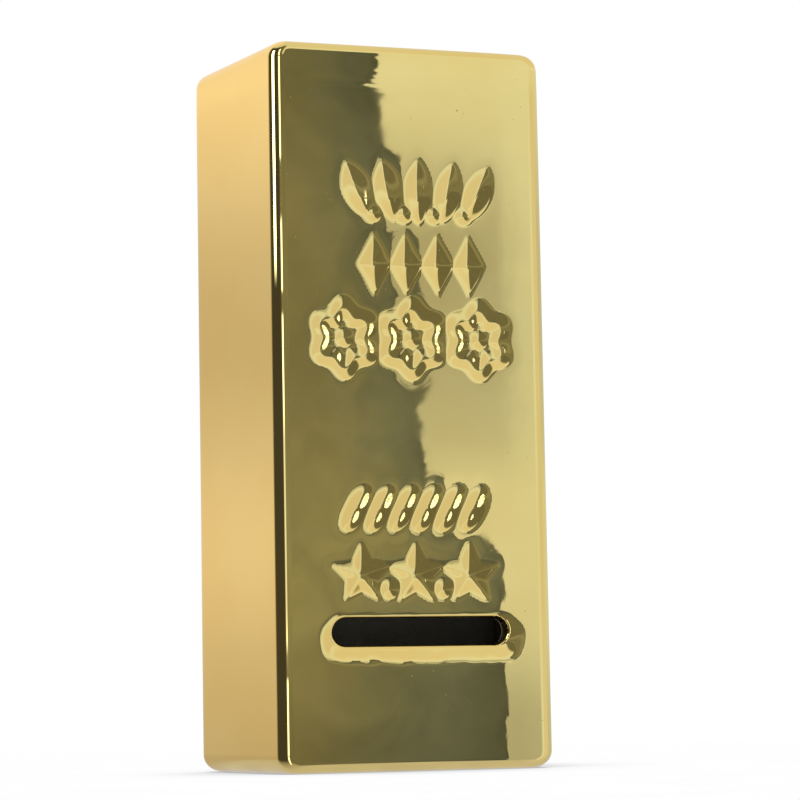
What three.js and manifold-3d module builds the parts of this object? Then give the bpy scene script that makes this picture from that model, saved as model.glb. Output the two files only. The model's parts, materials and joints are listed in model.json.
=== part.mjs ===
// Money box in the shape of a bullion bar: a hollow slip-cast ceramic casting that stands on its
// coin-slot end, a rubber stopper pushed into its back, and four bumper pads stuck on its back.
// Millimetres. +Z runs up the bar, the ornament and the coin slot face -Y, +X is on their right,
// and the origin is at the foot of the object, in the middle of its width and depth.
import * as THREE from 'three';
import { mergeVertices } from 'three/addons/utils/BufferGeometryUtils.js';
import Module from 'manifold-3d';

const wasm = await Module();
wasm.setup();

// Casting. Its sides spread from the front to the back, and its two ends are square.
const LENGTH = 160;
const FRONT_WIDTH = 62;
const BACK_WIDTH = 77;
const DEPTH = 44;
const SIDE_DRAFT = (BACK_WIDTH - FRONT_WIDTH) / 2 / DEPTH;
const CORNER_RADIUS = 6;
const EDGE_ROUNDING = 4.5;
const WALL = 5;
const CAVITY_CORNER = 3;
const CAVITY_ROUNDING = 2;

// Ornament: how deep it is sunk in the front, and how far its floor is narrowed by its sloping sides.
const SUNK_DEPTH = 0.8;
const SUNK_SLOPE = 0.7;
const LEAVES = { x: 2, z: 127, height: 13.2, width: 34.4, count: 5, leaf: 5, lean: 0.5, bead: 1.3 };
const LOZENGES = { x: 2.5, z: 110.7, height: 11.8, width: 29.4, count: 4, gap: 1.2 };
const ROSETTES = { x: 0, z: 94.2, height: 17.2, width: 47, count: 3, petals: 6, lobe: 0.7, stroke: 3.6, boss: 1.7 };
const ROPE = { x: 0, z: 56.8, height: 10.5, width: 36, count: 6, strand: 4.4, lean: 3 };
const STARS = { x: 0, z: 42.5, height: 12.6, width: 37.4, count: 3, waist: 0.5, bead: 1.6 };

// Coin slot, and the dip that it lies in, which is wider below than above.
const SLOT = { x: 1, z: 30.2, width: 40.4, height: 6.1 };
const DIP = { x: 1.2, z: 29.6, width: 46, height: 11.4 };

// Stopper in the middle of the back, with its flange in a shallow seat.
const STOPPER_Z = 80;
const HOLE_RADIUS = 15;
const SEAT_RADIUS = 18.6;
const SEAT_DEPTH = 2.2;
const CLEARANCE = 0.3;
const FLANGE_THICKNESS = 2;
const PLUG_LENGTH = 12;
const RIB_COUNT = 3;
const RIB_PITCH = 3.2;
const RIB_HEIGHT = 1;
const CUP_RADIUS = 10.8;
const CUP_DEPTH = 9.5;
const DISH_RADIUS = 11.5;
const DISH_DEPTH = 1.2;
const GRIP = { length: 21, width: 4.6, rise: 1.1, root: 1, rounding: 0.5 };

// Bumper pads near the corners of the back.
const PAD_RADIUS = 6;
const PAD_THICKNESS = 1.6;
const PAD_ROUNDING = 0.5;
const PAD_X = 25;
const PAD_FROM_END = 14;

// Planes across the object's depth, with the origin in the middle of the whole.
const PAD_STAND = CLEARANCE + PAD_THICKNESS;
const FRONT_Y = -(DEPTH + PAD_STAND) / 2;
const BACK_Y = FRONT_Y + DEPTH;

const CORNER_STEPS = 5;
const ROSETTE_STEPS = 36;
const STADIUM_STEPS = 8;
const LEAF_STEPS = 6;
const ROUND_STEPS = 32;
const QUARTER_TURN = Math.PI / 2;

// How far a cutting solid runs past the surfaces that it cuts.
const PAST = 2;

// Solids

function toSolid(geometry) {
  const bare = geometry.clone();
  bare.deleteAttribute('normal');
  bare.deleteAttribute('uv');
  const merged = mergeVertices(bare.index ? bare.toNonIndexed() : bare, 1e-4);
  const vertProperties = new Float32Array(merged.attributes.position.array);
  const triVerts = new Uint32Array(merged.index.array);
  return new wasm.Manifold(new wasm.Mesh({ numProp: 3, vertProperties, triVerts }));
}

function toGeometry(solid) {
  const mesh = solid.getMesh();
  const geometry = new THREE.BufferGeometry();
  geometry.setAttribute('position', new THREE.BufferAttribute(new Float32Array(mesh.vertProperties), 3));
  geometry.setIndex(new THREE.BufferAttribute(new Uint32Array(mesh.triVerts), 1));
  geometry.computeVertexNormals();
  return geometry;
}

function joined(geometries) {
  return geometries.map(toSolid).reduce((whole, next) => whole.add(next));
}

// A shape drawn as seen from the front, x across and y up, made into a slab that runs from
// backY towards the viewer, with its front and back edges rounded off.
function slab(shape, backY, thickness, rounding, roundingSteps) {
  const geometry = new THREE.ExtrudeGeometry(shape, {
    depth: thickness - 2 * rounding,
    curveSegments: CORNER_STEPS,
    bevelEnabled: rounding > 0,
    bevelThickness: rounding,
    bevelSize: rounding,
    bevelOffset: -rounding,
    bevelSegments: roundingSteps,
  });
  geometry.translate(0, 0, rounding);
  geometry.rotateX(QUARTER_TURN);
  geometry.translate(0, backY, 0);
  return geometry;
}

// Outlines

function roundedRectangle(x, z, width, height, radius) {
  const [left, right] = [x - width / 2, x + width / 2];
  const [low, high] = [z - height / 2, z + height / 2];
  const shape = new THREE.Shape();
  shape.absarc(right - radius, low + radius, radius, -QUARTER_TURN, 0);
  shape.absarc(right - radius, high - radius, radius, 0, QUARTER_TURN);
  shape.absarc(left + radius, high - radius, radius, QUARTER_TURN, 2 * QUARTER_TURN);
  shape.absarc(left + radius, low + radius, radius, 2 * QUARTER_TURN, 3 * QUARTER_TURN);
  shape.closePath();
  return shape;
}

function polygon(points) {
  return new THREE.Shape(points.map(([x, z]) => new THREE.Vector2(x, z)));
}

function stadium({ x, z, width, height }) {
  const points = [];
  for (const side of [1, -1]) {
    for (let i = 0; i <= STADIUM_STEPS; i += 1) {
      const angle = (Math.PI * i) / STADIUM_STEPS - side * QUARTER_TURN;
      const centre = x + (side * (width - height)) / 2;
      points.push([centre + (height / 2) * Math.cos(angle), z + (height / 2) * Math.sin(angle)]);
    }
  }
  return polygon(points);
}

function ellipse(x, z, radiusX, radiusZ, turn, steps) {
  const points = [];
  for (let i = 0; i < steps; i += 1) {
    const angle = (2 * Math.PI * i) / steps;
    const [u, v] = [radiusX * Math.cos(angle), radiusZ * Math.sin(angle)];
    points.push([x + u * Math.cos(turn) - v * Math.sin(turn), z + u * Math.sin(turn) + v * Math.cos(turn)]);
  }
  return polygon(points);
}

function disc(x, z, radius) {
  return ellipse(x, z, radius, radius, 0, 10);
}

// Evenly spaced centres of a row's motifs, from left to right.
function spread({ x, width }, count) {
  const pitch = width / count;
  return Array.from({ length: count }, (_, i) => x + (i - (count - 1) / 2) * pitch);
}

// Ornament

// A pointed oval whose two sides are arcs, standing on end and then turned.
function leaf(x, z, length, width, turn) {
  const rise = (length ** 2 - width ** 2) / (4 * width);
  const radius = rise + width / 2;
  const sweep = Math.asin(length / 2 / radius);
  const points = [];
  for (const side of [1, -1]) {
    for (let i = 0; i < LEAF_STEPS; i += 1) {
      const angle = side * sweep * ((2 * i) / LEAF_STEPS - 1);
      const [u, v] = [side * (radius * Math.cos(angle) - rise), radius * Math.sin(angle)];
      points.push([x + u * Math.cos(turn) - v * Math.sin(turn), z + u * Math.sin(turn) + v * Math.cos(turn)]);
    }
  }
  return polygon(points);
}

// Upright leaves that lean further outwards towards the row's two ends, with a bead between their feet.
function leafRow(row) {
  const reach = row.width / 2;
  const inner = { x: row.x, width: (row.width - row.height * Math.sin(row.lean)) * 1.25 };
  const centres = spread(inner, row.count);
  const leaves = centres.map((x) => {
    const turn = (-row.lean * (x - row.x)) / reach;
    const length = row.height / Math.cos(turn) - row.leaf * Math.abs(Math.sin(turn));
    return leaf(x, row.z, length, row.leaf, turn);
  });
  const beads = centres.slice(1).map((x, i) =>
    disc((x + centres[i]) / 2, row.z - row.height / 2 + row.bead, row.bead));
  return [...leaves, ...beads];
}

function lozengeRow(row) {
  const half = row.width / row.count / 2 - row.gap / 2;
  const high = row.height / 2;
  return spread(row, row.count).map((x) =>
    polygon([[x + half, row.z], [x, row.z + high], [x - half, row.z], [x, row.z - high]]));
}

// The scalloped outline of a rosette, at a distance inside its outermost one.
function scallops(x, row, inside) {
  const [spanX, spanZ] = [row.width / row.count / 2 - 0.5, row.height / 2 - 0.5];
  return Array.from({ length: ROSETTE_STEPS }, (_, i) => {
    const angle = (2 * Math.PI * i) / ROSETTE_STEPS;
    const lobes = row.lobe * (Math.cos(row.petals * angle + Math.PI) - 1);
    const along = [Math.cos(angle), Math.sin(angle)];
    return [x + along[0] * (spanX + lobes - inside), row.z + along[1] * (spanZ + lobes - inside)];
  });
}

// Rosettes, each a broad scalloped ring with a boss in the middle.
function rosetteRow(row) {
  return spread(row, row.count).flatMap((x) => {
    const ring = polygon(scallops(x, row, 0));
    ring.holes.push(new THREE.Path(polygon(scallops(x, row, row.stroke).reverse()).getPoints()));
    return [ring, disc(x, row.z, row.boss)];
  });
}

function ropeRow(row) {
  const narrowed = { x: row.x, width: row.width - 2 * row.lean + row.strand / 2 };
  return spread(narrowed, row.count).map((x) => {
    const half = row.height / 2;
    const turn = Math.atan2(half, row.lean);
    return ellipse(x, row.z, half, row.strand / 2, turn, 12);
  });
}

function starRow(row) {
  const centres = spread(row, row.count);
  const reach = row.height / 2;
  const stars = centres.map((x) => {
    const points = [];
    for (let i = 0; i < 10; i += 1) {
      const radius = i % 2 === 0 ? reach : reach * row.waist;
      const angle = QUARTER_TURN + (Math.PI * i) / 5;
      points.push([x + radius * Math.cos(angle), row.z + radius * Math.sin(angle)]);
    }
    return polygon(points);
  });
  const beads = centres.slice(1).map((x, i) => disc((x + centres[i]) / 2, row.z - reach / 2, row.bead));
  return [...stars, ...beads];
}

function sunk(shape) {
  return slab(shape, FRONT_Y + SUNK_DEPTH, SUNK_DEPTH + PAST, SUNK_SLOPE, 1);
}

function ornament() {
  const shapes = [
    ...leafRow(LEAVES),
    ...lozengeRow(LOZENGES),
    ...rosetteRow(ROSETTES),
    ...ropeRow(ROPE),
    ...starRow(STARS),
    stadium(DIP),
  ];
  return joined(shapes.map(sunk));
}

// Casting

// The bar's shape at a distance inside its outer faces.
function bar(inset, corner, rounding) {
  const width = FRONT_WIDTH + 2 * (SIDE_DRAFT - 1) * inset;
  const depth = DEPTH - 2 * inset;
  const outline = roundedRectangle(0, LENGTH / 2, width, LENGTH - 2 * inset, corner);
  const geometry = slab(outline, BACK_Y - inset, depth, rounding, 3);
  const { position } = geometry.attributes;
  for (let i = 0; i < position.count; i += 1) {
    const behindFront = position.getY(i) - (FRONT_Y + inset);
    position.setX(i, position.getX(i) * (1 + (2 * SIDE_DRAFT * behindFront) / width));
  }
  return toSolid(geometry);
}

function cylinder(radius, fromY, toY) {
  const geometry = new THREE.CylinderGeometry(radius, radius, toY - fromY, ROUND_STEPS);
  geometry.translate(0, (fromY + toY) / 2, STOPPER_Z);
  return toSolid(geometry);
}

function ceramicBody() {
  const slotCut = slab(stadium(SLOT), FRONT_Y + WALL + PAST, WALL + 2 * PAST, 0, 1);
  const hole = cylinder(HOLE_RADIUS, BACK_Y - WALL - PAST, BACK_Y + PAST);
  const seat = cylinder(SEAT_RADIUS, BACK_Y - SEAT_DEPTH, BACK_Y + PAST);
  const shell = bar(0, CORNER_RADIUS, EDGE_ROUNDING)
    .subtract(ornament())
    .subtract(bar(WALL, CAVITY_CORNER, CAVITY_ROUNDING))
    .subtract(toSolid(slotCut))
    .subtract(hole)
    .subtract(seat);
  return toGeometry(shell);
}

// Stopper

// Its profile from the axis at the outer face, round the flange, down the ribbed plug and into the cup.
function stopperProfile() {
  const flangeRadius = SEAT_RADIUS - CLEARANCE;
  const ribRadius = HOLE_RADIUS - CLEARANCE;
  const coreRadius = ribRadius - RIB_HEIGHT;
  const under = BACK_Y - SEAT_DEPTH + CLEARANCE;
  const top = under + FLANGE_THICKNESS;
  const tip = under - PLUG_LENGTH;
  const points = [
    [0, tip + CUP_DEPTH],
    [CUP_RADIUS, tip + CUP_DEPTH],
    [CUP_RADIUS, tip],
    [coreRadius - RIB_HEIGHT, tip],
  ];
  for (let i = RIB_COUNT - 1; i >= 0; i -= 1) {
    const rib = under - RIB_HEIGHT - (i + 0.5) * RIB_PITCH;
    points.push([coreRadius, rib - RIB_HEIGHT], [ribRadius, rib], [coreRadius, rib + RIB_HEIGHT / 2]);
  }
  points.push(
    [coreRadius, under],
    [flangeRadius, under],
    [flangeRadius, top - 0.5],
    [flangeRadius - 0.5, top],
    [DISH_RADIUS + DISH_DEPTH / 2, top],
    [DISH_RADIUS, top - DISH_DEPTH],
    [0, top - DISH_DEPTH],
  );
  return points.map(([radius, y]) => new THREE.Vector2(radius, y));
}

function stopper() {
  const turned = new THREE.LatheGeometry(stopperProfile(), ROUND_STEPS);
  turned.translate(0, 0, STOPPER_Z);
  const top = BACK_Y - SEAT_DEPTH + CLEARANCE + FLANGE_THICKNESS;
  const outline = stadium({ x: 0, z: STOPPER_Z, width: GRIP.length, height: GRIP.width });
  const grip = slab(outline, top + GRIP.rise, GRIP.rise + DISH_DEPTH + GRIP.root, GRIP.rounding, 1);
  return toGeometry(joined([turned, grip]));
}

// Pads

function pad() {
  const outline = ellipse(0, 0, PAD_RADIUS, PAD_RADIUS, 0, 24);
  return slab(outline, BACK_Y + PAD_STAND, PAD_THICKNESS, PAD_ROUNDING, 1);
}

// Materials

function gildedGlaze() {
  return new THREE.MeshStandardMaterial({ color: 0xe6c15c, roughness: 0.06, metalness: 1 });
}

function stopperRubber() {
  return new THREE.MeshStandardMaterial({ color: 0x232323, roughness: 0.8, metalness: 0 });
}

function padRubber() {
  return new THREE.MeshStandardMaterial({ color: 0x2e2b29, roughness: 0.7, metalness: 0 });
}

// Assembly

function named(name, geometry, material) {
  const mesh = new THREE.Mesh(geometry, material);
  mesh.name = name;
  return mesh;
}

function pads() {
  const group = new THREE.Group();
  const material = padRubber();
  const heights = { lower: PAD_FROM_END, upper: LENGTH - PAD_FROM_END };
  const sides = { left: -PAD_X, right: PAD_X };
  for (const [height, z] of Object.entries(heights)) {
    for (const [side, x] of Object.entries(sides)) {
      const mesh = named(`bumper_pad_${height}_${side}`, pad(), material);
      mesh.position.set(x, 0, z);
      group.add(mesh);
    }
  }
  return group;
}

const moneyBox = new THREE.Group();
moneyBox.add(named('ceramic_body', ceramicBody(), gildedGlaze()));
moneyBox.add(named('stopper', stopper(), stopperRubber()));
moneyBox.add(pads());

export default moneyBox;
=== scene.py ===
"""Looks for the gold-bar money box: a mirror-gilded ceramic casting, its rubber stopper and four bumper pads.

Shapes are worked out in millimetres in the CAD frame, +Z up the bar and -Y out of the ornamented face,
and written to Blender in metres.
"""
import json
import math

import bpy
import numpy as np
from mathutils import Matrix, Vector, noise

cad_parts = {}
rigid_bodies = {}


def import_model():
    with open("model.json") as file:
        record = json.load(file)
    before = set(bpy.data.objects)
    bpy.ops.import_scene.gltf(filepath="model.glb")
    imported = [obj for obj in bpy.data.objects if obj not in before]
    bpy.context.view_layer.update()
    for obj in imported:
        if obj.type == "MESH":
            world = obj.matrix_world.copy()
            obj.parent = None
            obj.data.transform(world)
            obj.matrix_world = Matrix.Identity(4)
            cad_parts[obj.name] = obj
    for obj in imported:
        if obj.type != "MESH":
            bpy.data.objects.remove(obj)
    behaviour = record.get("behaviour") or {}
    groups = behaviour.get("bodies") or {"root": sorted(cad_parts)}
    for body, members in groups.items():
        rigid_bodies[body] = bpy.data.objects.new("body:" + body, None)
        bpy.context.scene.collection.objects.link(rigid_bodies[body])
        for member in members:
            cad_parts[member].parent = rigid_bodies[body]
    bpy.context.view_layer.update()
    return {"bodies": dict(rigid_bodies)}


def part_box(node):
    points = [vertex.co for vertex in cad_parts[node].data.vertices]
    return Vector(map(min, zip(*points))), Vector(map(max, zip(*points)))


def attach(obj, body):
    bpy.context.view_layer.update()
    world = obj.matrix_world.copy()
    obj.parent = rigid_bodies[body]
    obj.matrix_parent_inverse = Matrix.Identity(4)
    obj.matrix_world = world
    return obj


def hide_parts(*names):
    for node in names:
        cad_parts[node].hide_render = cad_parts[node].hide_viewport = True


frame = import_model()

MM = 0.001
TURN = 2 * math.pi


def box_mm(node):
    """A CAD node's lowest and highest corners, in millimetres."""
    return [np.array(corner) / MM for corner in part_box(node)]


# ---------------------------------------------------------------- sizes, in millimetres

BODY_LOW, BODY_HIGH = box_mm("ceramic_body")
STOPPER_LOW, STOPPER_HIGH = box_mm("stopper")
LENGTH = BODY_HIGH[2]
BACK = BODY_HIGH[1]
FRONT = BODY_LOW[1]
DEPTH = BACK - FRONT

# The casting's widths where its sides would meet the planes of its front and back.
FRONT_WIDTH = 62.8
BACK_WIDTH = 77.0
DRAFT = (BACK_WIDTH - FRONT_WIDTH) / 2 / DEPTH
WALL = 5.0

# Roundings: the front's along its sides and its ends, how far the back's reach in from its sides and its
# ends, and the corners of the flat of the front.
FRONT_EDGE = 3.1
END_EDGE = 1.9
BACK_EDGE = 4.8
BACK_REACH = (4.2, 3.0)
FLAT_CORNER = 1.9
EDGE_STEPS = 12
SIDE_STEPS = 42

STEP = 0.42
SLOT = {"x": 1.0, "z": 30.2, "width": 40.4, "height": 6.1}
DIP = {"x": 1.2, "z": 28.7, "width": 46.0, "height": 9.8}
SLOT_EDGE = 0.8
DIP_STEPS = 14
SLOT_BLOCK = {"x": (-25.5, 27.5), "z": (22.0, 36.6)}

STOPPER_X = (STOPPER_LOW[0] + STOPPER_HIGH[0]) / 2
STOPPER_Z = (STOPPER_LOW[2] + STOPPER_HIGH[2]) / 2
FLANGE_RADIUS = (STOPPER_HIGH[0] - STOPPER_LOW[0]) / 2
CLEARANCE = 0.3
SEAT_RADIUS = FLANGE_RADIUS + CLEARANCE
SEAT_DEPTH = 2.2
HOLE_RADIUS = 15.0
HOLE_EDGE = 0.7
SEAT_EDGE = 0.5
BACK_STEPS = 10
CAVITY_STEPS = 8
HOLE_BLOCK = {"x": (-23.0, 23.0), "z": (STOPPER_Z - 23.0, STOPPER_Z + 23.0)}

# Ornament, sunk in the front
SUNK_DEPTH = 0.72
SUNK_RIM = 0.8
SUNK_RUN = 3.8
LEAVES = {
    "x": 2.0, "z": 127.0, "height": 13.2, "width": 34.4, "count": 5,
    "leaf": 5.4, "lean": 0.5, "bead": 1.5,
}
LOZENGES = {"x": 2.5, "z": 110.7, "height": 11.8, "width": 29.4, "count": 4, "gap": 0.7}
ROSETTES = {
    "x": 0.0, "z": 94.2, "height": 17.2, "width": 47.0, "count": 3,
    "petals": 6, "lobe": 0.7, "stroke": 3.9, "boss": 1.7,
}
ROPE = {"x": 0.0, "z": 56.8, "height": 10.5, "width": 36.0, "count": 6, "strand": 4.6, "lean": 3.0}
STARS = {"x": 0.0, "z": 42.5, "height": 12.8, "width": 37.4, "count": 3, "waist": 0.52, "bead": 1.8}
BLEND = 0.9


# ---------------------------------------------------------------- signed distances, in the front's plane


def turned(x, z, at_x, at_z, turn):
    """Coordinates in a motif's own frame: u across it and v along it when turn is 0."""
    dx, dz = x - at_x, z - at_z
    return dx * math.cos(turn) + dz * math.sin(turn), dz * math.cos(turn) - dx * math.sin(turn)


def ellipse_distance(x, z, at_x, at_z, radius_u, radius_v, turn):
    u, v = turned(x, z, at_x, at_z, turn)
    near = np.hypot(u / radius_u, v / radius_v)
    slope = np.hypot(u / radius_u**2, v / radius_v**2)
    return np.where(near > 1e-6, near * (near - 1) / np.maximum(slope, 1e-9), -min(radius_u, radius_v))


def leaf_distance(x, z, at_x, at_z, length, width, turn):
    """A pointed oval bounded by two arcs."""
    u, v = turned(x, z, at_x, at_z, turn)
    rise = (length**2 - width**2) / (4 * width)
    return np.hypot(np.abs(u) + rise, v) - (rise + width / 2)


def lozenge_distance(x, z, at_x, at_z, half_x, half_z):
    u, v = np.abs(x - at_x), np.abs(z - at_z)
    return (u * half_z + v * half_x - half_x * half_z) / math.hypot(half_x, half_z)


def polygon_distance(x, z, corners):
    """Distance to a polygon's outline, negative inside."""
    nearest = np.full(np.shape(x), np.inf)
    inside = np.zeros(np.shape(x), bool)
    for (ax, az), (bx, bz) in zip(corners, corners[1:] + corners[:1]):
        ex, ez = bx - ax, bz - az
        along = np.clip(((x - ax) * ex + (z - az) * ez) / (ex * ex + ez * ez), 0, 1)
        nearest = np.minimum(nearest, np.hypot(x - ax - along * ex, z - az - along * ez))
        crosses = (az > z) != (bz > z)
        inside ^= crosses & (x < ex * (z - az) / (ez if ez else 1e-9) + ax)
    return np.where(inside, -nearest, nearest)


def stadium_distance(x, z, outline):
    half = (outline["width"] - outline["height"]) / 2
    over = np.maximum(np.abs(x - outline["x"]) - half, 0)
    return np.hypot(over, z - outline["z"]) - outline["height"] / 2


def blended(distances, softness):
    """The union of motifs, with a soft fillet where two of them meet."""
    whole = distances[0]
    for other in distances[1:]:
        share = np.clip(0.5 + 0.5 * (whole - other) / softness, 0, 1)
        whole = whole + (other - whole) * share - softness * share * (1 - share)
    return whole


def spread(row, count, width=None):
    """Evenly spaced centres of a row's motifs, from left to right."""
    pitch = (width or row["width"]) / count
    return [row["x"] + (i - (count - 1) / 2) * pitch for i in range(count)]


def between(centres):
    return [(a + b) / 2 for a, b in zip(centres, centres[1:])]


# ---------------------------------------------------------------- the ornament


def leaf_row(x, z):
    row = LEAVES
    inner = (row["width"] - row["height"] * math.sin(row["lean"])) * 1.25
    centres = spread(row, row["count"], inner)
    parts = []
    for at in centres:
        turn = -row["lean"] * (at - row["x"]) / (row["width"] / 2)
        length = row["height"] / math.cos(turn) - row["leaf"] * abs(math.sin(turn))
        parts.append(leaf_distance(x, z, at, row["z"], length, row["leaf"], turn))
    foot = row["z"] - row["height"] / 2 + row["bead"]
    parts += [ellipse_distance(x, z, at, foot, row["bead"], row["bead"], 0) for at in between(centres)]
    return parts


def lozenge_row(x, z):
    row = LOZENGES
    half = row["width"] / row["count"] / 2 - row["gap"] / 2
    return [lozenge_distance(x, z, at, row["z"], half, row["height"] / 2) for at in spread(row, row["count"])]


def rosette_row(x, z):
    """Flowers drawn as a broad scalloped ring with a boss in the middle."""
    row = ROSETTES
    span_x, span_z = row["width"] / row["count"] / 2, row["height"] / 2
    parts = []
    for at in spread(row, row["count"]):
        u, v = x - at, (z - row["z"]) * span_x / span_z
        lobes = np.cos(row["petals"] * np.arctan2(v, u) + math.pi)
        ring = span_x - row["stroke"] / 2 - 0.5 + row["lobe"] * lobes
        parts.append(np.abs(np.hypot(u, v) - ring) - row["stroke"] / 2)
        parts.append(ellipse_distance(x, z, at, row["z"], row["boss"], row["boss"], 0))
    return parts


def rope_row(x, z):
    row = ROPE
    half = row["height"] / 2
    turn = math.atan2(half, row["lean"])
    centres = spread(row, row["count"], row["width"] - 2 * row["lean"] + row["strand"] / 2)
    return [ellipse_distance(x, z, at, row["z"], half, row["strand"] / 2, turn) for at in centres]


def star_row(x, z):
    row = STARS
    centres = spread(row, row["count"])
    reach = row["height"] / 2
    parts = []
    for at in centres:
        corners = []
        for i in range(10):
            radius = reach if i % 2 == 0 else reach * row["waist"]
            angle = TURN / 4 + TURN * i / 10
            corners.append((at + radius * math.cos(angle), row["z"] + radius * math.sin(angle)))
        parts.append(polygon_distance(x, z, corners))
    for at in between(centres):
        parts.append(ellipse_distance(x, z, at, row["z"] - reach / 2, row["bead"], row["bead"], 0))
    return parts


def noise_field(points, wavelength, seed):
    """Smooth noise from about -1 to 1 at each point, with features about a wavelength across."""
    offset = Vector((seed * 17.3, seed * 5.7, seed * 11.9))
    values = [noise.noise(Vector(p) / wavelength + offset) for p in points.reshape(-1, 3).tolist()]
    return np.array(values).reshape(points.shape[:-1])


def smooth(share):
    share = np.clip(share, 0, 1)
    return share * share * (3 - 2 * share)


def sunk(x, z):
    """How deep the ornament and the dip round the slot are sunk in the front at each place."""
    flat = np.stack([x, np.zeros_like(x), z], axis=-1)
    wander = 0.22 * noise_field(flat, 4.5, 1)
    depth = np.zeros_like(x)
    for row in (leaf_row, lozenge_row, rosette_row, rope_row, star_row):
        distance = blended(row(x, z), BLEND) + wander
        valley = smooth((SUNK_RIM - distance) / SUNK_RUN)
        shoulder = smooth((3.2 - distance) / 4.0)
        depth = np.maximum(depth, SUNK_DEPTH * (0.985 * valley + 0.015 * shoulder))
    scallops = 0.5 * noise_field(flat, 3.2, 2)
    dip = SUNK_DEPTH * smooth((0.7 - stadium_distance(x, z, DIP) - scallops) / 4.6)
    return np.maximum(depth, dip)


def waviness(points):
    """The slight unevenness of a cast and glazed wall, and how it falls away to its right and top edges."""
    to_right = smooth((points[..., 0] - 20) / 15)
    to_top = smooth((points[..., 2] - LENGTH + 11) / 11)
    fall = 0.12 * to_right + 0.10 * to_top
    return (
        0.022 * noise_field(points, 45.0, 3)
        + 0.0035 * noise_field(points, 15.0, 4)
        + 0.0003 * noise_field(points, 4.6, 5)
        - fall
    )


# ---------------------------------------------------------------- mesh making


class Shell:
    """Points and faces of one piece. A ring is an array of point numbers round a closed loop."""

    def __init__(self):
        self.points, self.faces, self.finishes = [], [], []
        self.count = 0

    def add(self, points):
        points = np.asarray(points, float).reshape(-1, 3)
        self.points.append(points)
        self.count += len(points)
        return np.arange(self.count - len(points), self.count)

    def face_all(self, faces, finish):
        self.faces += faces.tolist()
        self.finishes += [finish] * len(faces)

    def grid(self, index, keep, finish, back=False):
        """Quads over a lattice of point numbers, where keep is true."""
        a, b, c, d = index[:-1, :-1], index[1:, :-1], index[1:, 1:], index[:-1, 1:]
        quads = np.stack([a, d, c, b] if back else [a, b, c, d], axis=-1)
        self.face_all(quads[keep], finish)

    def strip(self, ring, following, finish=0):
        """Quads between a ring and the one after it on the way outwards."""
        quads = [ring, following, np.roll(following, -1), np.roll(ring, -1)]
        self.face_all(np.stack(quads, axis=-1), finish)

    def stitch(self, ring, ring_angles, following, following_angles, finish=0):
        """Triangles between two rings that don't have the same number of points."""
        start = int(np.argmin(np.abs(np.angle(np.exp(1j * (following_angles - ring_angles[0]))))))
        following = np.roll(following, -start)
        a_turn = np.append((ring_angles - ring_angles[0]) % TURN, TURN)
        b_turn = np.roll(following_angles, -start) - ring_angles[0]
        b_turn = np.append(np.unwrap(b_turn - TURN * np.round(b_turn[0] / TURN)), 0)
        b_turn[-1] = b_turn[0] + TURN
        a, b, faces = 0, 0, []
        while a < len(ring) or b < len(following):
            nexts = (ring[(a + 1) % len(ring)], following[(b + 1) % len(following)])
            corner = (ring[a % len(ring)], following[b % len(following)])
            if a == len(ring) or (b < len(following) and b_turn[b + 1] <= a_turn[a + 1]):
                faces.append((*corner, nexts[1]))
                b += 1
            else:
                faces.append((*corner, nexts[0]))
                a += 1
        self.face_all(np.array(faces), finish)

    def made(self, name, materials, sharp=40):
        mesh = bpy.data.meshes.new(name)
        mesh.from_pydata((np.concatenate(self.points) * MM).tolist(), [], self.faces)
        for material in materials:
            mesh.materials.append(material)
        mesh.polygons.foreach_set("material_index", np.array(self.finishes, np.int32))
        mesh.polygons.foreach_set("use_smooth", np.ones(len(self.faces), bool))
        mesh.set_sharp_from_angle(angle=math.radians(sharp))
        mesh.update()
        piece = bpy.data.objects.new(name, mesh)
        bpy.context.scene.collection.objects.link(piece)
        return piece


def border(index):
    """The outer loop of a lattice of point numbers, anticlockwise as seen from the front."""
    return np.concatenate([index[:-1, 0], index[-1, :-1], index[:0:-1, -1], index[0, :0:-1]])


def lines(half, corner):
    """Lattice lines from -half to half, with a whole number of cells in each rounded corner."""
    in_corner = max(3, round(corner / STEP))
    in_middle = round(2 * (half - corner) / STEP)
    edge = np.linspace(half - corner, half, in_corner + 1)
    middle = np.linspace(corner - half, half - corner, in_middle + 1)
    return np.concatenate([-edge[:0:-1], middle, edge[1:]])


def nearest_cells(values, limits):
    return [int(np.argmin(np.abs(values - limit))) for limit in limits]


def facing(count, normal):
    return np.tile(np.array(normal, float), (count, 1))


# ---------------------------------------------------------------- the casting


def front_lattice():
    """The flat of the front as a lattice whose four corners are rounded: x and z of each point."""
    tilt = math.atan(DRAFT)
    half_x = FRONT_WIDTH / 2 + FRONT_EDGE * (math.tan(tilt) - 1 / math.cos(tilt))
    half_z = LENGTH / 2 - END_EDGE
    x, z = np.meshgrid(lines(half_x, FLAT_CORNER), lines(half_z, FLAT_CORNER), indexing="ij")
    in_x = np.clip((np.abs(x) - half_x + FLAT_CORNER) / FLAT_CORNER, 0, 1)
    in_z = np.clip((np.abs(z) - half_z + FLAT_CORNER) / FLAT_CORNER, 0, 1)
    round_x = FLAT_CORNER * in_x * (1 - np.sqrt(1 - in_z**2 / 2))
    round_z = FLAT_CORNER * in_z * (1 - np.sqrt(1 - in_x**2 / 2))
    x, z = x - np.sign(x) * round_x, z - np.sign(z) * round_z
    return x, z + LENGTH / 2, half_x - FLAT_CORNER, half_z - FLAT_CORNER


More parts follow.
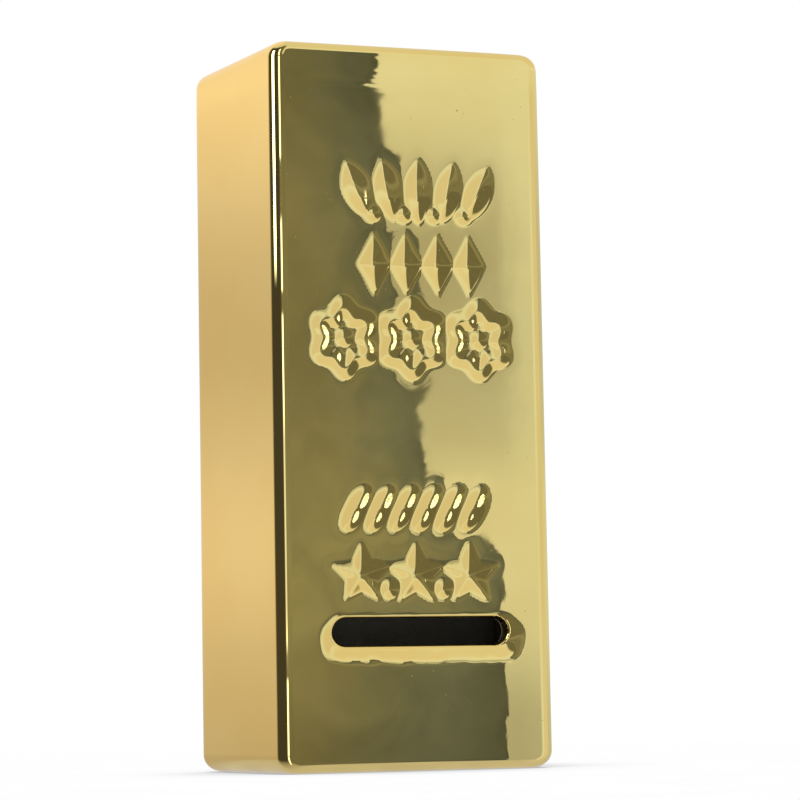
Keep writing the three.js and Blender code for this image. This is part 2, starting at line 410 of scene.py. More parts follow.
def outer_rings(loop, core_x, core_z):
    """The casting's outside from the front's flat to the back's, as (points, normals) for each ring."""
    flat = loop - np.array([0, LENGTH / 2])
    core = np.stack([np.clip(flat[:, 0], -core_x, core_x), np.clip(flat[:, 1], -core_z, core_z)], axis=1)
    out = flat - core
    out /= np.linalg.norm(out, axis=1, keepdims=True)
    tilt = np.arctan(DRAFT * np.abs(out[:, 0]))
    edge = FRONT_EDGE + (END_EDGE - FRONT_EDGE) * out[:, 1] ** 2
    reach = BACK_REACH[0] + (BACK_REACH[1] - BACK_REACH[0]) * out[:, 1] ** 2
    rings = []

    def ring(offset, depth, lean):
        """lean is the normal's angle from -Y towards the ring's own outward direction."""
        grown = np.clip(depth - front_end, 0, back_start - front_end)
        widened = core.copy()
        widened[:, 0] *= 1 + DRAFT * grown / core_x
        place = widened + out * offset[:, None]
        points = np.stack([place[:, 0], FRONT + depth, place[:, 1] + LENGTH / 2], axis=1)
        normals = np.stack([out[:, 0] * np.sin(lean), -np.cos(lean), out[:, 1] * np.sin(lean)], axis=1)
        rings.append((points, normals))

    front_end = FRONT_EDGE * (1 - np.sin(tilt))
    back_start = DEPTH - BACK_EDGE * (1 + np.sin(tilt))
    widest = FLAT_CORNER + edge * np.cos(tilt)
    for k in range(1, EDGE_STEPS + 1):
        lean = k / EDGE_STEPS * (math.pi / 2 - tilt)
        ring(FLAT_CORNER + edge * np.sin(lean), FRONT_EDGE * (1 - np.cos(lean)), lean)
    for share in np.linspace(0, 1, SIDE_STEPS + 1)[1:]:
        ring(widest, front_end + share * (back_start - front_end), math.pi / 2 - tilt)
    for k in range(1, EDGE_STEPS + 1):
        lean = k / EDGE_STEPS * (math.pi / 2 + tilt) + math.pi / 2 - tilt
        offset = widest + reach * (np.sin(lean) - np.cos(tilt))
        ring(offset, DEPTH - BACK_EDGE * (1 + np.cos(lean)), lean)
    return rings


def filled(loop, across, along):
    """A lattice of points inside a closed loop, blended from its four sides."""
    low, right = loop[: across + 1], loop[across : across + along + 1]
    high = loop[across + along : 2 * across + along + 1][::-1]
    left = np.concatenate([loop[2 * across + along :], loop[:1]])[::-1]
    u = np.linspace(0, 1, across + 1)[:, None, None]
    v = np.linspace(0, 1, along + 1)[None, :, None]
    sides = (1 - v) * low[:, None] + v * high[:, None] + (1 - u) * left[None] + u * right[None]
    corners = (1 - u) * (1 - v) * low[0] + u * (1 - v) * low[-1] + (1 - u) * v * high[0] + u * v * high[-1]
    return sides - corners


def wavy(points, normals):
    return points + normals * waviness(points)[:, None]


def place_on_front(x, z):
    """Points of the front face, with its ornament and its unevenness."""
    points = np.stack([x, np.full_like(x, FRONT), z], axis=-1)
    points[..., 1] += sunk(x, z) - waviness(points)
    return points


def slot_rings(shell, loop_points, loop):
    """From the lattice's edge round the slot, over the lip, down the slot's wall. Returns the last ring."""
    half = (SLOT["width"] - SLOT["height"]) / 2
    radius = SLOT["height"] / 2
    middle = np.clip(loop_points[:, 0], SLOT["x"] - half, SLOT["x"] + half)
    centre = np.stack([middle, np.full_like(middle, SLOT["z"])], axis=1)
    away = loop_points[:, [0, 2]] - centre
    far = np.linalg.norm(away, axis=1)
    away /= far[:, None]
    near = radius + SLOT_EDGE
    previous = loop
    edge = None
    for k in range(1, DIP_STEPS + 1):
        share = 1 - (1 - k / DIP_STEPS) ** 1.25
        place = centre + away * (far + (near - far) * share)[:, None]
        edge = place_on_front(place[:, 0], place[:, 1])
        following = shell.add(edge)
        shell.strip(following, previous)
        previous = following

    def ring(out, y, finish):
        nonlocal previous
        place = centre + away * out
        following = shell.add(np.stack([place[:, 0], y, place[:, 1]], axis=1))
        shell.strip(following, previous, finish)
        previous = following

    for k in range(1, 7):
        lean = k / 6 * math.pi / 2
        ring(radius + SLOT_EDGE * (1 - math.sin(lean)), edge[:, 1] + SLOT_EDGE * (1 - math.cos(lean)), 0)
    inner = FRONT + WALL
    top = edge[:, 1] + SLOT_EDGE
    for share in (0.3, 0.6, 0.85):
        ring(radius, top + share * (inner - 0.6 - top), 0)
    ring(radius + 0.15, np.full(len(centre), inner - 0.15), 1)
    ring(radius + 0.6, np.full(len(centre), inner), 1)
    return previous, centre, away, radius + 0.6


def inner_half_width(depth):
    return FRONT_WIDTH / 2 + DRAFT * depth - WALL * math.hypot(1, DRAFT)


def cavity_rings(shell, previous, centre, away, start):
    """The casting's bare inside, from the slot to the stopper's hole. Returns the ring and its angles."""
    half_x, half_z = inner_half_width(WALL), LENGTH / 2 - WALL
    from_middle = centre - np.array([0, LENGTH / 2])
    with np.errstate(divide="ignore"):
        reach_x = (half_x - np.sign(away[:, 0]) * from_middle[:, 0]) / np.abs(away[:, 0])
        reach_z = (half_z - np.sign(away[:, 1]) * from_middle[:, 1]) / np.abs(away[:, 1])
    reach = np.minimum(reach_x, reach_z)
    outline = from_middle + away * reach[:, None]

    def ring(place, depth):
        nonlocal previous
        y = np.full(len(place), FRONT + depth)
        following = shell.add(np.stack([place[:, 0], y, place[:, 1] + LENGTH / 2], axis=1))
        shell.strip(following, previous, 1)
        previous = following

    begin = from_middle + away * start
    for share in np.linspace(0, 1, CAVITY_STEPS + 1)[1:]:
        ring(begin + (outline - begin) * share, WALL)
    back_inner = DEPTH - WALL
    for share in np.linspace(0, 1, CAVITY_STEPS + 1)[1:]:
        depth = WALL + share * (back_inner - WALL)
        wide = outline * np.array([inner_half_width(depth) / half_x, 1])
        ring(wide, depth)
    hole = np.array([STOPPER_X, STOPPER_Z - LENGTH / 2])
    angles = np.unwrap(np.arctan2(wide[:, 1] - hole[1], wide[:, 0] - hole[0]))
    even = angles[0] + TURN * np.arange(len(angles)) / len(angles)
    even += np.mean(angles - even)
    for share in np.linspace(0, 1, CAVITY_STEPS + 1)[1:]:
        turn = angles + (even - angles) * smooth(share)
        rim = hole + HOLE_RADIUS * np.stack([np.cos(turn), np.sin(turn)], axis=1)
        ring(wide + (rim - wide) * share, back_inner)
    return previous, even


def hole_rings(shell, previous, angles, loop, loop_points):
    """From the inside of the hole, up its wall, over the stopper's seat and out to the back's lattice."""
    hole = np.array([STOPPER_X, STOPPER_Z])
    away = loop_points[:, [0, 2]] - hole
    far = np.linalg.norm(away, axis=1)
    away /= far[:, None]
    turns = np.unwrap(np.arctan2(away[:, 1], away[:, 0]))
    seat = BACK - SEAT_DEPTH
    first = True

    def ring(radius, y, finish):
        nonlocal previous, first
        place = hole + away * np.reshape(radius, (-1, 1))
        points = np.stack([place[:, 0], np.full(len(place), y), place[:, 1]], axis=1)
        if finish == 0:
            points = wavy(points, facing(len(points), (0, 1, 0)))
        following = shell.add(points)
        if first:
            shell.stitch(following, turns, previous, angles, 1)
        else:
            shell.strip(following, previous, finish)
        previous, first = following, False

    for share in (0.35, 0.7):
        ring(HOLE_RADIUS, BACK - WALL + share * (WALL - SEAT_DEPTH), 1)
    ring(HOLE_RADIUS, seat - 0.3, 1)
    ring(HOLE_RADIUS + 0.1, seat - 0.1, 1)
    ring(HOLE_RADIUS + 0.3, seat, 1)
    ring(SEAT_RADIUS - 1.2, seat, 1)
    for k in range(1, 6):
        lean = k / 5 * math.pi / 2
        ring(SEAT_RADIUS - SEAT_EDGE * (1 - math.sin(lean)), seat + SEAT_EDGE * (1 - math.cos(lean)), 0)
    for k in range(0, 7):
        lean = math.pi / 2 * (1 - k / 6)
        ring(SEAT_RADIUS + HOLE_EDGE * (1 - math.sin(lean)), BACK - HOLE_EDGE * (1 - math.cos(lean)), 0)
    near = SEAT_RADIUS + HOLE_EDGE
    for k in range(1, BACK_STEPS):
        share = (k / BACK_STEPS) ** 1.2
        ring(near + (far - near) * share, BACK, 0)
    shell.strip(loop, previous)


def casting(gilding, bisque):
    shell = Shell()
    x, z, core_x, core_z = front_lattice()
    cells = (x.shape[0] - 1, x.shape[1] - 1)
    front = place_on_front(x, z)
    index = shell.add(front).reshape(x.shape)
    i0, i1 = nearest_cells(x[:, cells[1] // 2], SLOT_BLOCK["x"])
    j0, j1 = nearest_cells(z[cells[0] // 2], SLOT_BLOCK["z"])
    keep = np.ones(cells, bool)
    keep[i0:i1, j0:j1] = False
    shell.grid(index, keep, 0)
    loop = border(index[i0 : i1 + 1, j0 : j1 + 1])
    loop_points = front.reshape(-1, 3)[loop]
    inside = slot_rings(shell, loop_points, loop)
    inside = cavity_rings(shell, *inside)

    previous = border(index)
    flat_loop = np.stack([x, z], axis=-1).reshape(-1, 2)[previous]
    ring_points = None
    for points, normals in outer_rings(flat_loop, core_x, core_z):
        ring_points = points
        following = shell.add(wavy(points, normals))
        shell.strip(previous, following)
        previous = following

    back = filled(ring_points, *cells)
    rows, columns = back.shape[:2]
    inner = back[1:-1, 1:-1]
    lifted = wavy(inner.reshape(-1, 3), facing(inner.shape[0] * inner.shape[1], (0, 1, 0)))
    index = np.zeros((rows, columns), int)
    index[1:-1, 1:-1] = shell.add(lifted).reshape(inner.shape[:2])
    index[:-1, 0], index[-1, :-1] = previous[: cells[0]], previous[cells[0] : sum(cells)]
    index[:0:-1, -1] = previous[sum(cells) : sum(cells) + cells[0]]
    index[0, :0:-1] = previous[sum(cells) + cells[0] :]
    i0, i1 = nearest_cells(back[:, columns // 2, 0], HOLE_BLOCK["x"])
    j0, j1 = nearest_cells(back[rows // 2, :, 2], HOLE_BLOCK["z"])
    keep = np.ones(cells, bool)
    keep[i0:i1, j0:j1] = False
    shell.grid(index, keep, 0, back=True)
    loop = border(index[i0 : i1 + 1, j0 : j1 + 1])
    hole_rings(shell, *inside, loop, border_points(back, i0, i1, j0, j1))
    return shell.made("gilded_casting", [gilding, bisque])


def border_points(lattice, i0, i1, j0, j1):
    part = lattice[i0 : i1 + 1, j0 : j1 + 1]
    order = border(np.arange(part.shape[0] * part.shape[1]).reshape(part.shape[:2]))
    return part.reshape(-1, 3)[order]


# ---------------------------------------------------------------- the stopper

FLANGE_THICKNESS = 2.0
UNDER = BACK - SEAT_DEPTH + CLEARANCE
TOP = UNDER + FLANGE_THICKNESS
TIP = UNDER - 12.0
RIBS = {"count": 3, "pitch": 3.2, "height": 1.0}
CUP = {"radius": 10.8, "depth": 9.5}
DISH = {"radius": 11.5, "depth": 1.2}
GRIP = {"length": 21.0, "width": 4.6, "rise": 1.1}
STOPPER_SEGMENTS = 160
PAD_SEGMENTS = 72


def arc(centre, radius, start, end, steps=5):
    """Points (radius, y) along part of a circle in a turned piece's section, with its angles in degrees."""
    turns = np.radians(np.linspace(start, end, steps + 1))
    return [(centre[0] + radius * math.cos(t), centre[1] + radius * math.sin(t)) for t in turns]


def stopper_section():
    """The stopper's section from the inside of its cup, round the ribs and the flange, to the dish."""
    rib_radius = HOLE_RADIUS - CLEARANCE
    core = rib_radius - RIBS["height"]
    floor = TIP + CUP["depth"]
    points = [(CUP["radius"] * share, floor) for share in (0.3, 0.6, 0.85)]
    points += arc((CUP["radius"] - 0.8, floor - 0.8), 0.8, 90, 0)
    points += [(CUP["radius"], TIP + 4.0), (CUP["radius"], TIP + 1.4)]
    points += arc((CUP["radius"] + 0.5, TIP + 0.5), 0.5, 180, 270)
    points += arc((core - 1.2, TIP + 0.6), 0.6, 270, 340)
    for i in reversed(range(RIBS["count"])):
        middle = UNDER - RIBS["height"] - (i + 0.5) * RIBS["pitch"]
        points += [(core, middle - 1.3), (core + 0.35, middle - 0.75)]
        points += arc((rib_radius - 0.3, middle), 0.3, -60, 80, 6)
        points += [(core + 0.1, middle + 0.55), (core, middle + 0.9)]
    points += arc((core + 0.4, UNDER - 0.4), 0.4, 180, 90, 4)
    points += [(SEAT_RADIUS - 2.0, UNDER)]
    points += arc((FLANGE_RADIUS - 0.3, UNDER + 0.3), 0.3, -90, 0, 4)
    points += arc((FLANGE_RADIUS - 0.7, TOP - 0.7), 0.7, 0, 90, 6)
    points += [(DISH["radius"] + 3.4, TOP), (DISH["radius"] + 1.8, TOP)]
    points += arc((DISH["radius"] + 0.9, TOP - 0.5), 0.5, 90, 150, 4)
    low = TOP - DISH["depth"]
    points += arc((DISH["radius"] + 0.1, low + 0.6), 0.6, -30, -90, 5)
    points += [(DISH["radius"] * share, low) for share in np.linspace(0.96, 0.04, 44)]
    return points


def grip_height(x, z):
    """How far the grip bar stands out of the dish, with a soft root and a rounded top."""
    outline = {"x": STOPPER_X, "z": STOPPER_Z, "width": GRIP["length"], "height": GRIP["width"]}
    inside = -stadium_distance(x, z, outline)
    whole = DISH["depth"] + GRIP["rise"]
    side = smooth((inside + 0.35) / 1.25)
    crown = 0.25 * smooth(inside / (GRIP["width"] / 2)) - 0.25
    waist = -0.45 * np.exp(-(((x - STOPPER_X) / 4.2) ** 2))
    return side * (whole + crown + waist)


def turned_piece(section, segments, lift=None):
    """A shell turned about +Y through the origin, closed at both ends with a fan."""
    shell = Shell()
    angles = TURN * np.arange(segments) / segments
    rings = []
    for radius, y in section:
        x, z = radius * np.cos(angles), radius * np.sin(angles)
        height = np.full(segments, y)
        if lift is not None:
            height = lift(x, z, height)
        rings.append(shell.add(np.stack([x, height, z], axis=1)))
    for ring, following in zip(rings, rings[1:]):
        shell.strip(ring, following)
    for ring, y, order in ((rings[0], section[0][1], 1), (rings[-1], section[-1][1], -1)):
        top = y if lift is None else float(lift(np.zeros(1), np.zeros(1), np.full(1, y))[0])
        middle = shell.add([[0, top, 0]])
        fan = np.stack([ring, np.roll(ring, -1), np.repeat(middle, segments)], axis=1)
        shell.face_all(fan[:, ::order], 0)
    return shell


def moved(shell, offset):
    shell.points = [points + np.array(offset) for points in shell.points]
    return shell


def stopper(rubber):
    low = TOP - DISH["depth"]

    def lift(x, z, y):
        in_dish = (np.hypot(x, z) < DISH["radius"] + 0.4) & (y > low - 0.1)
        return np.where(in_dish, np.maximum(y, low + grip_height(x + STOPPER_X, z + STOPPER_Z)), y)

    shell = turned_piece(stopper_section(), STOPPER_SEGMENTS, lift)
    return moved(shell, (STOPPER_X, 0, STOPPER_Z)).made("rubber_stopper", [rubber], sharp=60)


# ---------------------------------------------------------------- the pads


def bumper_pad(name, node, rubber):
    """A self-adhesive rubber pad: a low drum with a moulded edge and a slightly domed, ringed face."""
    low, high = box_mm(node)
    radius = (high[0] - low[0]) / 2
    y0, y1 = low[1], high[1]
    section = [(radius * share, y0) for share in (0.3, 0.7)]
    section += arc((radius - 0.2, y0 + 0.2), 0.2, -90, 0, 3)
    section += arc((radius - 0.75, y1 - 0.65), 0.6, 0, 90, 7)
    section += [(radius - 1.1, y1 - 0.05), (radius - 1.35, y1 - 0.12), (radius - 1.6, y1 - 0.05)]
    section += [(radius * share, y1 - 0.02 * share) for share in (0.66, 0.5, 0.3, 0.12)]
    middle = (low + high) / 2
    shell = turned_piece(section, PAD_SEGMENTS)
    return moved(shell, (middle[0], 0, middle[2])).made(name, [rubber], sharp=60)


# ---------------------------------------------------------------- shader building


class Graph:
    """A small helper for writing node trees as expressions."""

    def __init__(self, tree):
        self.tree = tree
        self.tree.nodes.clear()

    def node(self, kind, inputs=None, **settings):
        made = self.tree.nodes.new("ShaderNode" + kind)
        for name, value in settings.items():
            setattr(made, name, value)
        for name, value in (inputs or {}).items():
            self.feed(made.inputs[name], value)
        return made

    def feed(self, socket, value):
        if isinstance(value, bpy.types.NodeSocket):
            self.tree.links.new(value, socket)
        else:
            socket.default_value = value

    def maths(self, operation, a, b=0.0):
        return self.node("Math", {0: a, 1: b}, operation=operation).outputs[0]

    def spread(self, value, low, high, to_low=0.0, to_high=1.0, kind="SMOOTHSTEP"):
        inputs = {"Value": value, "From Min": low, "From Max": high, "To Min": to_low, "To Max": to_high}
        return self.node("MapRange", inputs, interpolation_type=kind).outputs[0]

    def mix(self, share, a, b, kind="MIX"):
        made = self.node("Mix", data_type="RGBA", blend_type=kind)
        for place, value in ((0, share), (6, a), (7, b)):
            self.feed(made.inputs[place], value)
        return made.outputs[2]

    def product(self, a, b):
        return self.mix(1.0, a, b, "MULTIPLY")

    def noise(self, vector, scale, detail=2.0, roughness=0.5, distortion=0.0):
        inputs = {
            "Vector": vector,
            "Scale": scale,
            "Detail": detail,
            "Roughness": roughness,
            "Distortion": distortion,
        }
        return self.node("TexNoise", inputs).outputs["Fac"]

    def bump(self, height, distance, strength=1.0, below=None):
        inputs = {"Height": height, "Distance": distance, "Strength": strength}
        if below is not None:
            inputs["Normal"] = below
        return self.node("Bump", inputs).outputs[0]


def material(name):
    made = bpy.data.materials.new(name)
    made.use_nodes = True
    return made, Graph(made.node_tree)


def shaded(graph, inputs):
    shader = graph.node("BsdfPrincipled", inputs)
    graph.node("OutputMaterial", {"Surface": shader.outputs[0]})


# ---------------------------------------------------------------- materials


def gilding():
    """Bright gold lustre over a glaze: warm and mirror-like, a little mottled, with rare pinholes."""
    made, graph = material("gilded_glaze")
    place = graph.node("TexCoord").outputs["Object"]
    cloud = graph.noise(place, 26.0, 3.0, 0.55)
    fleck = graph.noise(place, 160.0, 4.0, 0.6)
    tone = graph.mix(graph.spread(cloud, 0.35, 0.65), (0.96, 0.79, 0.30, 1), (0.98, 0.83, 0.34, 1))
    pinhole = graph.spread(graph.noise(place, 1500.0, 1.0, 0.5), 0.81, 0.86)
    colour = graph.mix(pinhole, tone, (0.22, 0.13, 0.05, 1))
    rough = graph.spread(fleck, 0.3, 0.7, 0.008, 0.024)
    ripple = graph.bump(graph.noise(place, 110.0, 2.0, 0.5), 0.0000005)
    normal = graph.bump(pinhole, 0.00004, 0.6, ripple)
    inputs = {"Base Color": colour, "Metallic": 1.0, "Roughness": rough, "Normal": normal}
    shaded(graph, inputs)
    return made


def bare_ceramic():
    """The unglazed, slip-cast inside."""
    made, graph = material("bare_ceramic")
    place = graph.node("TexCoord").outputs["Object"]
    cloud = graph.noise(place, 60.0, 4.0, 0.6)
    grain = graph.noise(place, 1800.0, 3.0, 0.7)
    colour = graph.mix(graph.spread(cloud, 0.3, 0.7), (0.36, 0.34, 0.29, 1), (0.44, 0.42, 0.36, 1))
    normal = graph.bump(grain, 0.00012, 0.7, graph.bump(cloud, 0.0006, 0.5))
    rough = graph.spread(grain, 0.3, 0.7, 0.8, 0.95)
    shaded(graph, {"Base Color": colour, "Roughness": rough, "Normal": normal})
    return made


def rubber(name, dark, light, grain_scale):
    """Moulded rubber: a fine matt grain, dust in patches and slightly polished places."""
    made, graph = material(name)
    place = graph.node("TexCoord").outputs["Object"]
    cloud = graph.noise(place, 85.0, 4.0, 0.6)
    grain = graph.noise(place, grain_scale, 2.0, 0.65)
    dust = graph.maths("MULTIPLY", graph.spread(cloud, 0.5, 0.78), graph.spread(grain, 0.4, 0.6))
    colour = graph.mix(graph.spread(cloud, 0.3, 0.7), dark, light)
    dusty = graph.mix(dust, colour, (0.13, 0.125, 0.115, 1))
    rough = graph.spread(graph.noise(place, 160.0, 3.0), 0.3, 0.7, 0.52, 0.74)
    normal = graph.bump(grain, 0.00005, 0.7, graph.bump(cloud, 0.00010, 0.5))
    inputs = {"Base Color": dusty, "Roughness": rough, "Specular IOR Level": 0.45, "Normal": normal}
    shaded(graph, inputs)
    return made


# ---------------------------------------------------------------- the studio

ROOM_WHITE = (1.0, 1.0, 1.0, 1)
WARM = (1.02, 0.84, 0.71, 1)
FAR_WALL = (0.72, 0.655, 0.59, 1)
CEILING = (0.76, 0.69, 0.60, 1)
OLIVE = (1.05, 1.0, 0.76, 1)
SHADE = (0.92, 1.0, 1.0, 1)
GROUND = (0.55, 0.51, 0.52, 1)
PALE_GROUND = (0.60, 0.56, 0.56, 1)


def grey(level, warmth=0.0):
    return (level * (1 + warmth), level, level * (1 - warmth), 1)


# What stands round the bar, from the widest things to the smallest, in degrees: "turn" from -Y towards -X,
# "tilt" above the floor. Each is laid over the ones before it, with edges as soft as "blur".
STUDIO = [
    {"turn": (23, 124), "tilt": (-90, 90), "blur": (2, 5), "colour": grey(0.085, 0.2)},
    {"turn": (30, 124), "tilt": (-90, 90), "blur": (12, 5), "colour": grey(0.05, 0.12)},
    {
        "turn": (11.5, 23), "tilt": (-35, 36), "blur": (0.7, 3), "colour": grey(2.4),
        "panes": (0.40, 0.44),
    },
    {"turn": (11, 24), "tilt": (1.0, 5.6), "blur": (0.7, 1.5), "colour": grey(0.9)},
    {"turn": (60, 80), "tilt": (8.5, 40), "blur": (1.5, 1.0), "colour": grey(5.0)},
    {"turn": (-145, 124), "tilt": (55, 100), "blur": (4, 10), "colour": grey(0.70, 0.06)},
]


# Levels, given as (tilt, level) stops: the dark side, the warm wall behind, and the bright side next to
# its edge. DOOR_EDGE says where that edge stands, as a share of the way between the turns in DOOR_TURNS.
TILTS = (-8, 14)
DOOR_TURNS = (-21.3, -18.5)
DARK_BY_TILT = [(-8, 0.16), (-1, 0.17), (1, 0.24), (3, 0.26), (6, 0.2), (10, 0.2), (12, 0.15), (14, 0.15)]
WARM_BY_TILT = [(-8, 0.5), (-1, 0.56), (1, 0.68), (3, 0.79), (5, 0.69), (7, 0.60), (9.5, 0.72), (12, 0.95)]
DOOR_EDGE = [
    (-8, 0.0), (-0.6, 0.0), (2.6, 0.12), (3.2, 0.27),
    (3.7, 0.48), (4.9, 0.58), (8, 0.73), (12, 0.89),
]
DOOR_LEVEL = [
    (-8, 0.44), (-0.5, 0.45), (1, 0.66), (3.7, 0.72),
    (5, 0.55), (8, 0.44), (9.6, 0.5), (11.5, 0.72),
]


def window(graph, turn, tilt, piece):
    """A soft-edged rectangle of the room as a share from 0 to 1."""
    share = None
    sides = (turn, *piece["turn"]), (tilt, *piece["tilt"])
    for (value, low, high), blur in zip(sides, piece["blur"]):
        rise = graph.spread(value, low - blur / 2, low + blur / 2)
        fall = graph.spread(value, high - blur / 2, high + blur / 2, 1.0, 0.0)
        band = graph.maths("MULTIPLY", rise, fall)
        share = band if share is None else graph.maths("MULTIPLY", share, band)
    if "panes" in piece:
        along = graph.node("CombineXYZ", {1: tilt}).outputs[0]
        share = graph.maths("MULTIPLY", share, graph.spread(graph.noise(along, 0.55, 1.0), *piece["panes"]))
    return share


def by_tilt(graph, tilt, stops):
    """A smooth curve through given levels: stops are (tilt, level)."""
    low, high = TILTS
    made = graph.node("ValToRGB", {"Fac": graph.spread(tilt, low, high, kind="LINEAR")})
    made.color_ramp.interpolation = "CARDINAL"
    elements = made.color_ramp.elements
    while len(elements) < len(stops):
        elements.new(0.5)
    for element, (place, level) in zip(elements, stops):
        element.position = (place - low) / (high - low)
        element.color = (level, level, level, 1)
    return made.outputs[0]


def studio():
    """The room that the gold mirrors, and the plain white that the camera sees behind the bar."""
    world = bpy.data.worlds.new("studio")
    world.use_nodes = True
    bpy.context.scene.world = world
    graph = Graph(world.node_tree)
    direction = graph.node("TexCoord").outputs["Generated"]
    parts = graph.node("SeparateXYZ", {0: direction})
    x, y, z = parts.outputs
    flipped = graph.maths("MULTIPLY", x, -1.0), graph.maths("MULTIPLY", y, -1.0)
    turn = graph.maths("DEGREES", graph.maths("ARCTAN2", *flipped))
    tilt = graph.maths("DEGREES", graph.maths("ARCSINE", z))
    spot = graph.node("CombineXYZ", {0: turn, 1: tilt}).outputs[0]

    murk = graph.noise(spot, 0.55, 4.0, 0.6, 0.8)
    dark = graph.product(by_tilt(graph, tilt, DARK_BY_TILT), graph.spread(murk, 0.3, 0.7, 0.88, 1.1))
    colour = bright_side(graph, turn, tilt, spot, dark)
    for piece in STUDIO:
        colour = graph.mix(window(graph, turn, tilt, piece), colour, piece["colour"])
    wall = graph.product(WARM, by_tilt(graph, tilt, WARM_BY_TILT))
    colour = graph.mix(behind(graph, turn), colour, wall)

    room = graph.node("Background", {"Color": colour, "Strength": 1.0})
    plain = graph.node("Background", {"Color": ROOM_WHITE, "Strength": 1.0})
    seen = graph.node("LightPath").outputs["Is Camera Ray"]
    both = graph.node("MixShader", {0: seen, 1: room.outputs[0], 2: plain.outputs[0]})
    graph.node("OutputWorld", {"Surface": both.outputs[0]})


def behind(graph, turn):
    """The share of the warm wall behind the bar."""
    left = graph.spread(turn, 106, 128)
    right = graph.spread(turn, -179, -150, 1.0, 0.0)
    return graph.maths("MAXIMUM", left, right)


def bright_side(graph, turn, tilt, spot, dark):
    """The room's bright right half and its ceiling, whose ragged edges cross the front's reflection.

    inward is how far a direction lies beyond the edge, in degrees: above 0 on the bright side.
    """
    edge = graph.spread(by_tilt(graph, tilt, DOOR_EDGE), 0, 1, *DOOR_TURNS, kind="LINEAR")
    ragged = graph.spread(graph.noise(spot, 1.3, 3.0, 0.55), 0.25, 0.75, -0.34, 0.34, kind="LINEAR")
    inward = graph.maths("SUBTRACT", graph.maths("ADD", edge, ragged), turn)
    past_edge = graph.spread(inward, -0.03, 0.04)

    near = by_tilt(graph, tilt, DOOR_LEVEL)
    bright = graph.mix(graph.spread(inward, 1.0, 5.5), near, grey(0.78, -0.03))
    bright = graph.mix(graph.spread(inward, 8.0, 18.0), bright, FAR_WALL)
    bright = graph.mix(graph.spread(inward, 45.0, 60.0), bright, graph.mix(0.5, near, grey(0.7)))

    by_door = graph.spread(inward, -1.6, -0.4, 1.0, 0.78)
    shade = graph.product(by_door, graph.spread(inward, -0.45, 0.0, 1.0, 0.75))
    low = graph.spread(tilt, 0.5, 4.0, 1.0, 0.0)
    deep = graph.maths("MULTIPLY", low, graph.spread(inward, -4.4, -1.6))
    shade = graph.product(shade, graph.maths("SUBTRACT", 1.0, graph.maths("MULTIPLY", deep, 0.25)))
    cool = graph.maths("MAXIMUM", deep, graph.spread(inward, -2.2, -0.2))
    dark = graph.product(graph.product(dark, shade), graph.mix(cool, OLIVE, SHADE))

    height = graph.maths("ADD", tilt, ragged)
    in_front = graph.spread(turn, -11, -5, 1.0, 0.0)
    crisp = graph.maths("MULTIPLY", graph.spread(height, 14.5, 14.6), in_front)
    soft = graph.maths("MULTIPLY", graph.spread(height, 11.8, 14.6), past_edge)
    ceiling = graph.mix(graph.spread(tilt, 15, 24), grey(0.80), CEILING)
    return graph.mix(graph.maths("MAXIMUM", crisp, soft), graph.mix(past_edge, dark, bright), ceiling)


def fading(graph, place, colour, near, far):
    """A surface that shines in its own colour and is gone beyond a distance from the middle, in metres."""
    distance = graph.node("VectorMath", {0: place}, operation="LENGTH").outputs["Value"]
    glow = graph.node("Emission", {"Color": colour, "Strength": 1.0})
    clear = graph.node("BsdfTransparent")
    gone = graph.spread(distance, near, far)
    both = graph.node("MixShader", {0: gone, 1: glow.outputs[0], 2: clear.outputs[0]})
    graph.node("OutputMaterial", {"Surface": both.outputs[0]})


def disc(name, radius, height, finish, sides=96):
    shell = Shell()
    angles = TURN * np.arange(sides) / sides
    x, y = radius * np.cos(angles), radius * np.sin(angles)
    shell.face_all(shell.add(np.stack([x, y, np.full(sides, height)], axis=1))[None], 0)
    plane = shell.made(name, [finish])
    return plane


def floor():
    """A plain pale floor that glows and fades out, with the bar's contact shadow painted into its glow from
    ambient occlusion.
    """
    made, graph = material("pale_floor")
    place = graph.node("TexCoord").outputs["Object"]
    open_sky = graph.node("AmbientOcclusion", {"Distance": 0.05}, samples=12).outputs["AO"]
    mottle = graph.spread(graph.noise(place, 40.0, 3.0), 0.3, 0.7, 0.985, 1.0)
    # Painted shadow: the floor's glow is darkened where ambient occlusion finds the bar close by.
    level = graph.maths("MULTIPLY", graph.spread(open_sky, 0.1, 0.9, 0.45, 1.0), mottle)
    fading(graph, place, level, 0.22, 0.34)
    disc("floor", 360, -0.05, made).visible_glossy = False


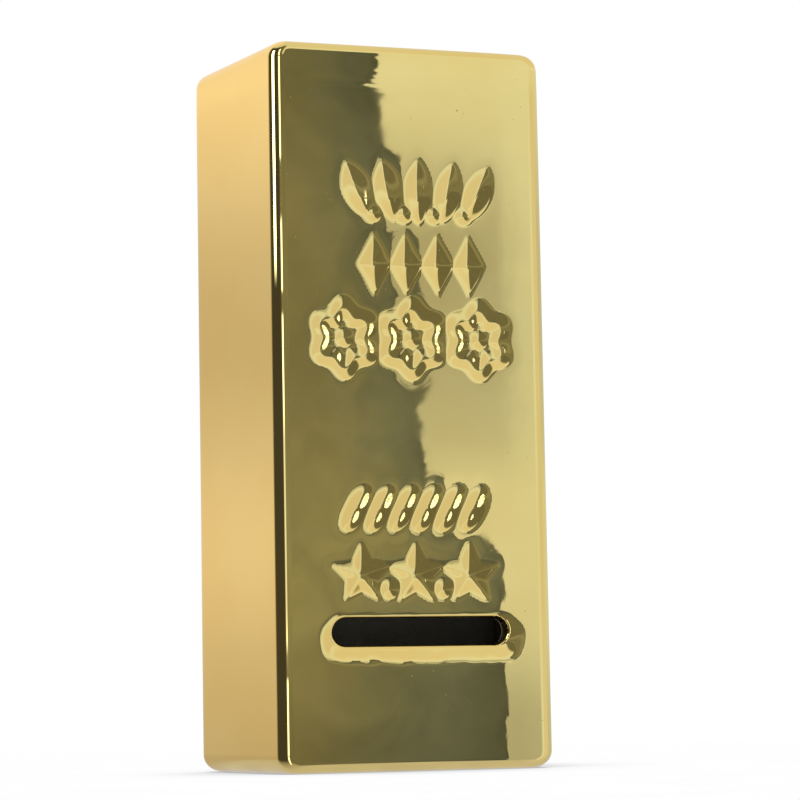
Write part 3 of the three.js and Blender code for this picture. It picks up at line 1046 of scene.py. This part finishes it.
def near_floor():
    """What the bar's lower edges mirror of the floor right in front of them."""
    made, graph = material("near_floor")
    place = graph.node("TexCoord").outputs["Object"]
    mottle = graph.spread(graph.noise(place, 60.0, 3.0), 0.35, 0.65)
    fading(graph, place, graph.mix(mottle, GROUND, PALE_GROUND), 0.034, 0.046)
    plane = disc("near_floor", 50, -0.08, made)
    plane.visible_camera = False
    plane.visible_shadow = False


# The camera, close and low in front of the bar's left edge, looking slightly up.
CAMERA_TARGET = (0.00399, -0.0024, 0.08292)
CAMERA_DISTANCE = 0.6567
CAMERA_TURN = -19.12
CAMERA_TILT = -5.78
CAMERA_ROLL = 1.04
LENS = 130.47


def camera():
    data = bpy.data.cameras.new("camera")
    data.lens = LENS
    data.sensor_width = 36.0
    data.clip_start = 0.01
    made = bpy.data.objects.new("camera", data)
    bpy.context.scene.collection.objects.link(made)
    turn, tilt = math.radians(CAMERA_TURN), math.radians(CAMERA_TILT)
    back = Vector((math.sin(turn) * math.cos(tilt), -math.cos(turn) * math.cos(tilt), math.sin(tilt)))
    facing_bar = back.to_track_quat("Z", "Y").to_matrix().to_4x4()
    roll = Matrix.Rotation(math.radians(-CAMERA_ROLL), 4, "Z")
    place = Matrix.Translation(Vector(CAMERA_TARGET) + back * CAMERA_DISTANCE)
    made.matrix_world = place @ facing_bar @ roll
    bpy.context.scene.camera = made


# ---------------------------------------------------------------- the whole

gold = gilding()
body = casting(gold, bare_ceramic())
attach(body, "casting")
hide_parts("ceramic_body")

plug = stopper(rubber("stopper_rubber", (0.018, 0.018, 0.019, 1), (0.034, 0.033, 0.033, 1), 1400.0))
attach(plug, "stopper")
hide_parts("stopper")

pad_finish = rubber("pad_rubber", (0.030, 0.028, 0.026, 1), (0.052, 0.048, 0.044, 1), 1900.0)
for node in frame["bodies"]["casting"].children:
    if node.name.startswith("bumper_pad"):
        pad = bumper_pad(node.name.replace("bumper_pad", "soft_pad"), node.name, pad_finish)
        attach(pad, "casting")
        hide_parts(node.name)

floor()
near_floor()
studio()
camera()
bpy.context.scene.view_settings.view_transform = "Standard"
